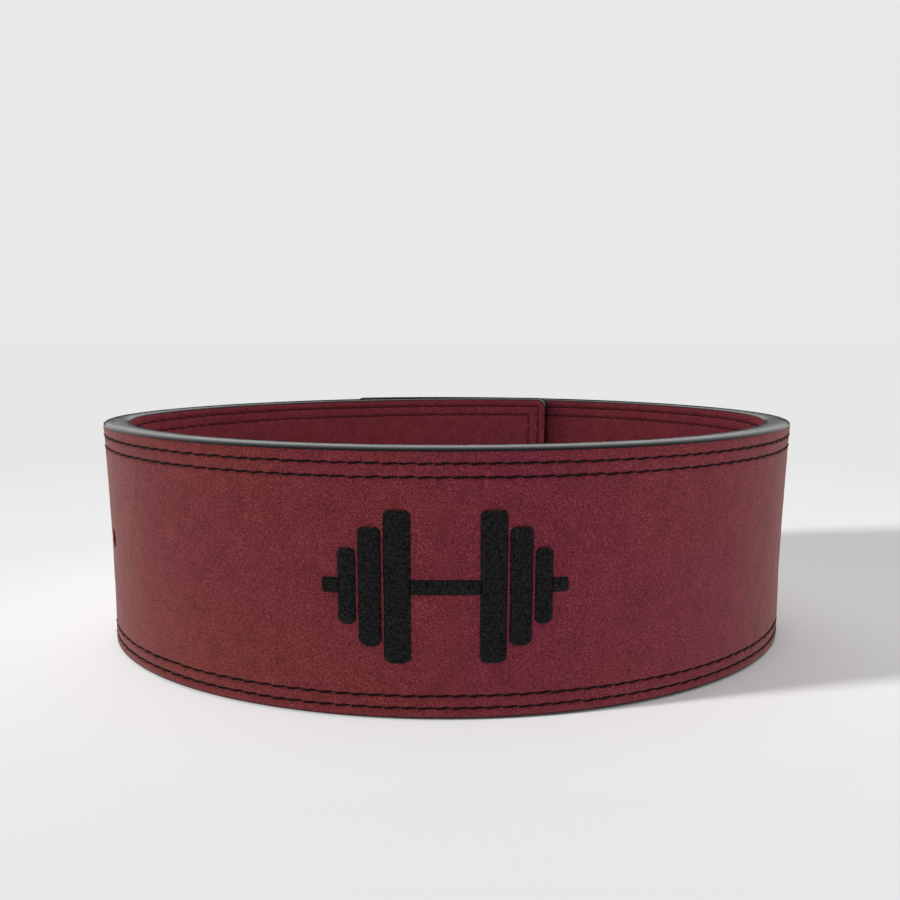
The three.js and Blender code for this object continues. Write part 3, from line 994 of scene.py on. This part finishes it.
def steel():
    """Steel brushed along the strap, a little rougher in patches."""
    finish = Finish("brushed_steel", Metallic=1.0, Anisotropic=0.4)
    brush = finish.noise(1.2, 4.0, 0.7, stretch=(0.12, 0.12, 4.0))
    tone = finish.ramp(brush, (0.25, (0.17, 0.17, 0.175)), (0.75, (0.33, 0.33, 0.335)))
    finish.feed("Base Color", tone)
    finish.feed("Roughness", finish.ramp(finish.noise(14, 3.0, 0.6), (0.3, 0.2), (0.7, 0.32)))
    finish.bump((brush, 0.015))
    return finish.material


def build_belt():
    # Colour across the outer suede, left to right: partly its own warmer and more purple hues, partly
    # painted shade, darkest in the middle and paler at both flanks.
    tints_and_painted_shade = [
        (0.08, (0.93, 0.98, 0.84)),
        (0.3, (0.84, 0.84, 0.81)),
        (0.5, (0.77, 0.71, 0.85)),
        (0.75, (0.84, 0.8, 0.88)),
        (0.98, (0.9, 0.83, 0.79)),
    ]
    outer = suede("outer_suede", dark=(0.1375, 0.018, 0.0225), light=(0.4525, 0.09, 0.0863),
                  purple=(0.95, 0.84, 1.22), sheen=0.38, tints_and_painted_shade=tints_and_painted_shade)
    # The inner suede is lighter than the outer: partly its own tone, partly painted light that makes up
    # for the shade inside the oval.
    inner = suede("inner_suede", dark=(0.17, 0.025, 0.034), light=(0.45, 0.085, 0.1),
                  purple=(0.92, 0.9, 1.2), sheen=0.05)
    black = thread("black_thread", 0.001, 0.006)
    dark_red = thread("dark_red_thread", (0.07, 0.01, 0.013), (0.14, 0.024, 0.028))
    leather_core([edge_paint()])
    outer_suede([outer])
    inner_suede([inner])
    stitches("outer_stitches", 1, [black])
    stitches("inner_stitches", -1, [dark_red])
    emblem([embroidery()])
    lever_buckle([steel()])


# Floor, light and camera. The floor's tones are given at distances in metres from its middle;
# near the belt they are paler, which is painted light.
BACKGROUND = 0.806
SHADOW_SHARE = 0.35
FLOOR_HALF = 8.0
FLOOR_TONE = 1 - SHADOW_SHARE
# Painted light: the floor is paler near the belt, to make up for the light that the belt takes away.
FLOOR_TONES_WITH_PAINTED_LIGHT = [(0.1, 0.9), (0.125, 0.83), (0.16, 0.755), (0.2, 0.705), (0.5, FLOOR_TONE)]
SKY_LEVEL = 0.85
SKY_TO_SIDES = 0.32
SKY_TO_BACK = 0.3
SKY_TO_LEFT = 0.12
FLAG_WIDTH = 600.0
FLAG_FROM_BELT = 80.0
FLAG_TOP = 128.0
FLAG_BOTTOM = 95.0
LOW_LIGHT_ELEVATION = math.radians(14)
LOW_LIGHT_HEADING = math.radians(11.2)
LOW_LIGHT_SPREAD = math.radians(5)
CAMERA_PLACE = (-2.16, -363.0, 140.85)
CAMERA_SENSOR = 36
CAMERA_LENS = 31.26
CAMERA_HEADING = math.radians(-0.784)
CAMERA_DOWN = math.radians(8.917)
CAMERA_ROLL = math.radians(0.121)


def make_floor():
    """A pale floor, painted paler round the belt: painted light that makes up for the light the belt
    takes away from the floor there, its shadow included. Distances are measured on a floor squeezed
    so that the belt's oval is a circle."""
    finish = Finish("pale_floor", Roughness=1.0, Specular_IOR_Level=0.0)
    squeezed = finish.nodes.new("ShaderNodeMapping")
    squeezed.inputs["Scale"].default_value = (OVAL_DEPTH / OVAL_WIDTH, 1, 1)
    finish.links.new(finish.place, squeezed.inputs["Vector"])
    distance = finish.nodes.new("ShaderNodeVectorMath")
    distance.operation = "LENGTH"
    finish.links.new(squeezed.outputs["Vector"], distance.inputs[0])
    # Painted light round the belt.
    near = finish.ramp(distance.outputs["Value"], *FLOOR_TONES_WITH_PAINTED_LIGHT)
    grain = finish.ramp(finish.noise(40, 2.0, 0.5), (0.0, 0.997), (1.0, 1.0))
    finish.feed("Base Color", finish.mix(1.0, near, grain, "MULTIPLY"))
    corners = [(x * FLOOR_HALF, y * FLOOR_HALF, 0) for x, y in ((-1, -1), (1, -1), (1, 1), (-1, 1))]
    mesh = bpy.data.meshes.new("floor")
    mesh.from_pydata(corners, [], [(0, 1, 2, 3)])
    floor = bpy.data.objects.new("floor", mesh)
    mesh.materials.append(finish.material)
    bpy.context.scene.collection.objects.link(floor)
    return floor


def make_sky():
    """A white surround that is a little brighter at both sides, most so at the left, and behind, as large
    soft lamps make it. The backdrop itself looks evenly white."""
    world = bpy.data.worlds.new("studio")
    world.use_nodes = True
    nodes, links = world.node_tree.nodes, world.node_tree.links

    def worked_out(operation, first, second=None):
        node = nodes.new("ShaderNodeMath")
        node.operation = operation
        for socket, value in zip(node.inputs, (first, second)):
            if isinstance(value, bpy.types.NodeSocket):
                links.new(value, socket)
            elif value is not None:
                socket.default_value = value
        return node.outputs["Value"]

    axes = nodes.new("ShaderNodeSeparateXYZ")
    links.new(nodes.new("ShaderNodeTexCoord").outputs["Generated"], axes.inputs["Vector"])
    to_sides = worked_out("MULTIPLY", worked_out("ABSOLUTE", axes.outputs["X"]), SKY_TO_SIDES)
    to_back = worked_out("MULTIPLY", axes.outputs["Y"], SKY_TO_BACK)
    to_left = worked_out("MULTIPLY", axes.outputs["X"], -SKY_TO_LEFT)
    added = worked_out("ADD", to_sides, worked_out("ADD", to_back, to_left))
    lit = worked_out("ADD", added, SKY_LEVEL)
    seen = nodes.new("ShaderNodeLightPath").outputs["Is Camera Ray"]
    unseen = worked_out("SUBTRACT", 1.0, seen)
    strength = worked_out("MAXIMUM", seen, worked_out("MULTIPLY", unseen, lit))
    background = nodes["Background"]
    background.inputs["Color"].default_value = (BACKGROUND, BACKGROUND, BACKGROUND, 1)
    links.new(strength, background.inputs["Strength"])
    bpy.context.scene.world = world


def make_low_light(floor):
    """A low soft light from the left that draws the shadow on the floor."""
    lamp = bpy.data.lights.new("low_light", "SUN")
    share = SHADOW_SHARE * BACKGROUND
    lamp.energy = share * math.pi / ((1 - SHADOW_SHARE) * math.sin(LOW_LIGHT_ELEVATION))
    lamp.angle = LOW_LIGHT_SPREAD
    sun = bpy.data.objects.new("low_light", lamp)
    level = math.cos(LOW_LIGHT_ELEVATION)
    ray = Vector((math.cos(LOW_LIGHT_HEADING) * level, math.sin(LOW_LIGHT_HEADING) * level,
                  -math.sin(LOW_LIGHT_ELEVATION)))
    sun.rotation_mode = "QUATERNION"
    sun.rotation_quaternion = ray.to_track_quat("-Z", "Y")
    bpy.context.scene.collection.objects.link(sun)
    lit = bpy.data.collections.new("lit_by_low_light")
    lit.objects.link(floor)
    sun.light_linking.receiver_collection = lit


def make_flag():
    """A low black card that stands behind the belt, where only reflections show it. It keeps the edge
    at the back dark and takes some shine from the edge at both sides."""
    finish = Finish("flag_black", Roughness=1.0, Specular_IOR_Level=0.0,
                    Base_Color=(0.0, 0.0, 0.0, 1.0))
    behind = OVAL_DEPTH / 2 + FLAG_FROM_BELT
    corners = [(-1, FLAG_BOTTOM), (1, FLAG_BOTTOM), (1, FLAG_TOP), (-1, FLAG_TOP)]
    points = [OVAL_MIDDLE + np.array([side * FLAG_WIDTH / 2, behind, z]) * MM for side, z in corners]
    mesh = bpy.data.meshes.new("flag")
    mesh.from_pydata([point.tolist() for point in points], [], [(0, 1, 2, 3)])
    mesh.materials.append(finish.material)
    flag = bpy.data.objects.new("flag", mesh)
    bpy.context.scene.collection.objects.link(flag)
    flag.visible_camera = False
    flag.visible_diffuse = False
    flag.visible_shadow = False


def make_camera():
    """The photograph's view: its place is given from the middle of the oval."""
    data = bpy.data.cameras.new("camera")
    data.sensor_width = CAMERA_SENSOR
    data.lens = CAMERA_LENS
    camera = bpy.data.objects.new("camera", data)
    place = OVAL_MIDDLE + np.array(CAMERA_PLACE) * MM
    turn = (Matrix.Rotation(CAMERA_HEADING, 4, "Z")
            @ Matrix.Rotation(math.pi / 2 - CAMERA_DOWN, 4, "X")
            @ Matrix.Rotation(CAMERA_ROLL, 4, "Z"))
    camera.matrix_world = Matrix.Translation(place) @ turn
    bpy.context.scene.collection.objects.link(camera)
    bpy.context.scene.camera = camera


make_camera()
make_sky()
make_low_light(make_floor())
make_flag()
bpy.context.scene.view_settings.view_transform = "Standard"
build_belt()
